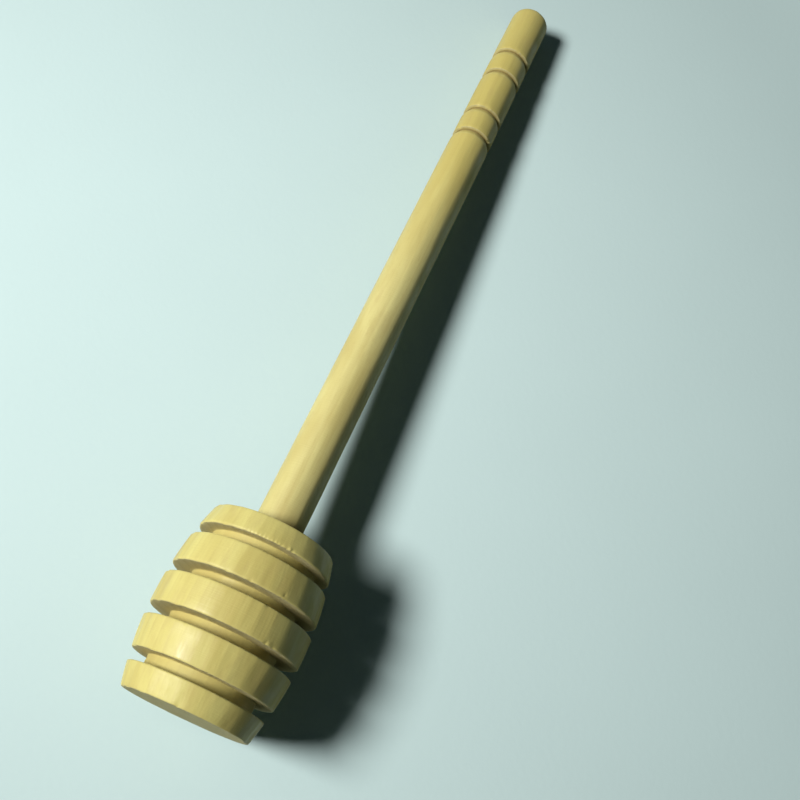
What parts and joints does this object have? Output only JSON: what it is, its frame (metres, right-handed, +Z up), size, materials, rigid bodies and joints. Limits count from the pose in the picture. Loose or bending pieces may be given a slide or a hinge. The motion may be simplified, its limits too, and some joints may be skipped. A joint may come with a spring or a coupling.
{
  "type": "honey dipper",
  "caption": "Turned wooden honey dipper: a barrel-shaped grooved head that picks up and drips honey, on a slim round stick handle with narrow V grooves near its end.",
  "frame": {"origin": "on the table under the middle of the dipper, which lies on the largest rim of its head and on the end of its handle", "axes": "+Z up from the table, +X from the tip of the head towards the end of the handle; the dipper's own axis slopes down by 3.43 degrees towards the handle's end, as it does when it lies on a flat table"},
  "size_m": [0.1564, 0.0246, 0.0247],
  "materials": {
    "head_wood": "raw turned hardwood, fine sanded, no varnish",
    "handle_wood": "raw turned hardwood, fine sanded, no varnish",
    "wood_glue": "dried translucent wood glue"
  },
  "bodies": {
    "root": {"head": "head_wood", "handle": "handle_wood", "glue_film": "wood_glue"}
  },
  "joints": []
}
